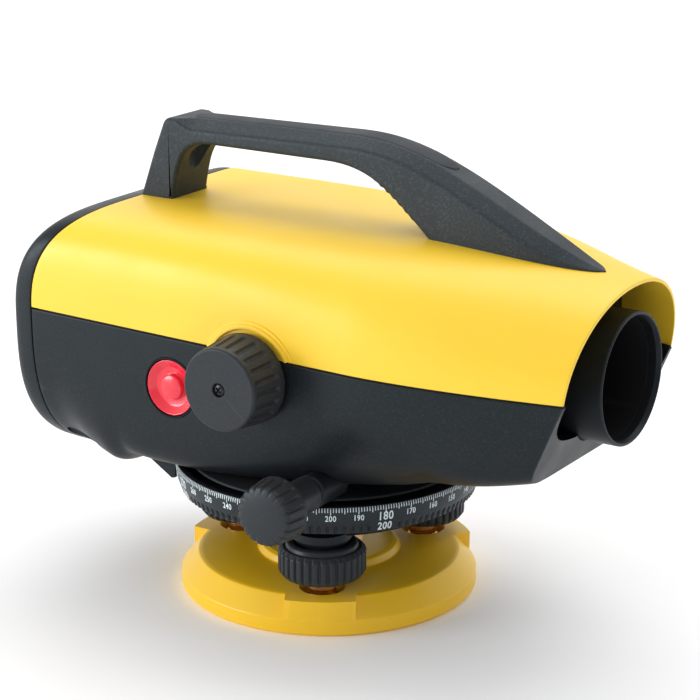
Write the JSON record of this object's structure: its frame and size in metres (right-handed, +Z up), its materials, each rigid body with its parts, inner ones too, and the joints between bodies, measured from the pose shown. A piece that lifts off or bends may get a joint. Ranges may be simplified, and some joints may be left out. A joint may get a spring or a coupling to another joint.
{
  "type": "automatic level",
  "caption": "Automatic surveying level: hooded objective, carrying handle, focus and drive knobs, graduated circle and a three-screw base.",
  "frame": {"origin": "centre of the tripod thread at the underside of the base plate", "axes": "+X along the line of sight out of the objective, +Y to the left, +Z up along the vertical axis"},
  "size_m": [0.2236, 0.153, 0.163],
  "materials": {
    "yellow_plastic": "satin moulded",
    "dark_plastic": "fine grained",
    "knob_plastic": "fine grained",
    "gloss_dark": "semi gloss",
    "red_plastic": "satin",
    "brass": "turned",
    "steel": "turned",
    "cast_alloy": "cast",
    "black_anodised": "anodised",
    "glass": "polished",
    "vial_fluid": "clear",
    "display": "clear window",
    "board": "circuit board",
    "cell": "printed sleeve",
    "magnet": "ground",
    "seal_rubber": "matt"
  },
  "bodies": {
    "base": {"base_plate": "yellow_plastic", "tripod_thread_insert": "brass", "spring_plate": "steel", "spring_plate_screws": "steel", "tribrach_body": "dark_plastic", "foot_screw_bushes": "brass", "axis_bush": "brass", "worm_wheel": "brass"},
    "alidade": {"standing_axis": "steel", "alidade_flange": "dark_plastic", "chassis": "cast_alloy", "lower_housing": "dark_plastic", "upper_housing": "yellow_plastic", "parting_seal": "seal_rubber", "front_bulkhead": "dark_plastic", "telescope_tube": "black_anodised", "objective_lens": "glass", "focus_sleeve": "cast_alloy", "compensator_frame": "cast_alloy", "damping_magnet": "magnet", "beam_splitter": "glass", "reticle": "glass", "eyepiece_mount": "black_anodised", "rear_cap": "dark_plastic", "control_panel": "dark_plastic", "display_window": "display", "display_module": "display", "circuit_boards": "board", "battery_cells": "cell", "battery_holder": "dark_plastic", "handle": "dark_plastic", "handle_inlay": "seal_rubber", "level_housing": "dark_plastic", "level_vial": "vial_fluid", "drive_bushes": "knob_plastic", "trigger_bezel": "red_plastic", "housing_screws": "steel"},
    "foot_screw_1": {"foot_knob_1": "knob_plastic", "foot_spindle_1": "brass"},
    "foot_screw_2": {"foot_knob_2": "knob_plastic", "foot_spindle_2": "brass"},
    "foot_screw_3": {"foot_knob_3": "knob_plastic", "foot_spindle_3": "brass"},
    "circle": {"circle_ring": "knob_plastic"},
    "focus_drive": {"focus_knob": "knob_plastic", "focus_knob_screw": "steel", "focus_shaft": "steel"},
    "focus_slider": {"focus_cell": "black_anodised", "focus_lens": "glass"},
    "side_drive": {"drive_knobs": "knob_plastic", "drive_shaft": "steel"},
    "trigger": {"trigger_button": "red_plastic"},
    "key_a": {"key_1": "seal_rubber"},
    "key_b": {"key_2": "seal_rubber"},
    "key_c": {"key_3": "seal_rubber"},
    "key_d": {"key_4": "seal_rubber"},
    "dioptre": {"dioptre_ring": "seal_rubber", "eyepiece_lens": "glass"},
    "pendulum": {"compensator_pendulum": "cast_alloy"},
    "door": {"battery_door": "dark_plastic"}
  },
  "joints": [
    {"name": "foot_screw_1_turn", "type": "hinge", "parent": "base", "child": "foot_screw_1", "pos_m": [0.019, -0.03291, 0.02], "axis": [0, 0, 1], "range_deg": [-720, 720]},
    {"name": "foot_screw_2_turn", "type": "hinge", "parent": "base", "child": "foot_screw_2", "pos_m": [0.019, 0.03291, 0.02], "axis": [0, 0, 1], "range_deg": [-720, 720]},
    {"name": "foot_screw_3_turn", "type": "hinge", "parent": "base", "child": "foot_screw_3", "pos_m": [-0.038, 0, 0.02], "axis": [0, 0, 1], "range_deg": [-720, 720]},
    {"name": "circle_turn", "type": "hinge", "parent": "base", "child": "circle", "pos_m": [0, 0, 0.042], "axis": [0, 0, 1], "continuous": true},
    {"name": "alidade_turn", "type": "hinge", "parent": "base", "child": "alidade", "pos_m": [0, 0, 0.05], "axis": [0, 0, 1], "continuous": true},
    {"name": "side_drive_turn", "type": "hinge", "parent": "alidade", "child": "side_drive", "pos_m": [0.0245, 0, 0.0525], "axis": [0, 1, 0], "continuous": true},
    {"name": "focus_turn", "type": "hinge", "parent": "alidade", "child": "focus_drive", "pos_m": [0.0035, -0.06, 0.0896], "axis": [0, 1, 0], "range_deg": [-125, 125]},
    {"name": "focus_slide", "type": "slide", "parent": "alidade", "child": "focus_slider", "axis": [1, 0, 0], "range_m": [-0.009, 0.009]},
    {"name": "trigger_press", "type": "slide", "parent": "alidade", "child": "trigger", "axis": [0, 1, 0], "range_m": [0, 0.0015], "stiffness_N_per_m": 800, "springref_m": -0.001},
    {"name": "dioptre_turn", "type": "hinge", "parent": "alidade", "child": "dioptre", "pos_m": [-0.102, 0, 0.0945], "axis": [1, 0, 0], "range_deg": [-150, 150]},
    {"name": "pendulum_swing", "type": "hinge", "parent": "alidade", "child": "pendulum", "pos_m": [-0.03, 0, 0.11], "axis": [0, 1, 0], "range_deg": [-0.5, 0.5]},
    {"name": "battery_door_hinge", "type": "hinge", "parent": "alidade", "child": "door", "pos_m": [-0.039, 0.0542, 0.065], "axis": [-1, 0, 0], "range_deg": [0, 100]},
    {"name": "key_a_press", "type": "slide", "parent": "alidade", "child": "key_a", "axis": [1, 0, 0], "range_m": [0, 0.0008], "stiffness_N_per_m": 400, "springref_m": -0.001},
    {"name": "key_b_press", "type": "slide", "parent": "alidade", "child": "key_b", "axis": [1, 0, 0], "range_m": [0, 0.0008], "stiffness_N_per_m": 400, "springref_m": -0.001},
    {"name": "key_c_press", "type": "slide", "parent": "alidade", "child": "key_c", "axis": [1, 0, 0], "range_m": [0, 0.0008], "stiffness_N_per_m": 400, "springref_m": -0.001},
    {"name": "key_d_press", "type": "slide", "parent": "alidade", "child": "key_d", "axis": [1, 0, 0], "range_m": [0, 0.0008], "stiffness_N_per_m": 400, "springref_m": -0.001}
  ],
  "couplings": [
    {"joint": "side_drive_turn", "follows": "alidade_turn", "ratio": 39},
    {"joint": "focus_slide", "follows": "focus_turn", "m_per_rad": 0.004}
  ]
}
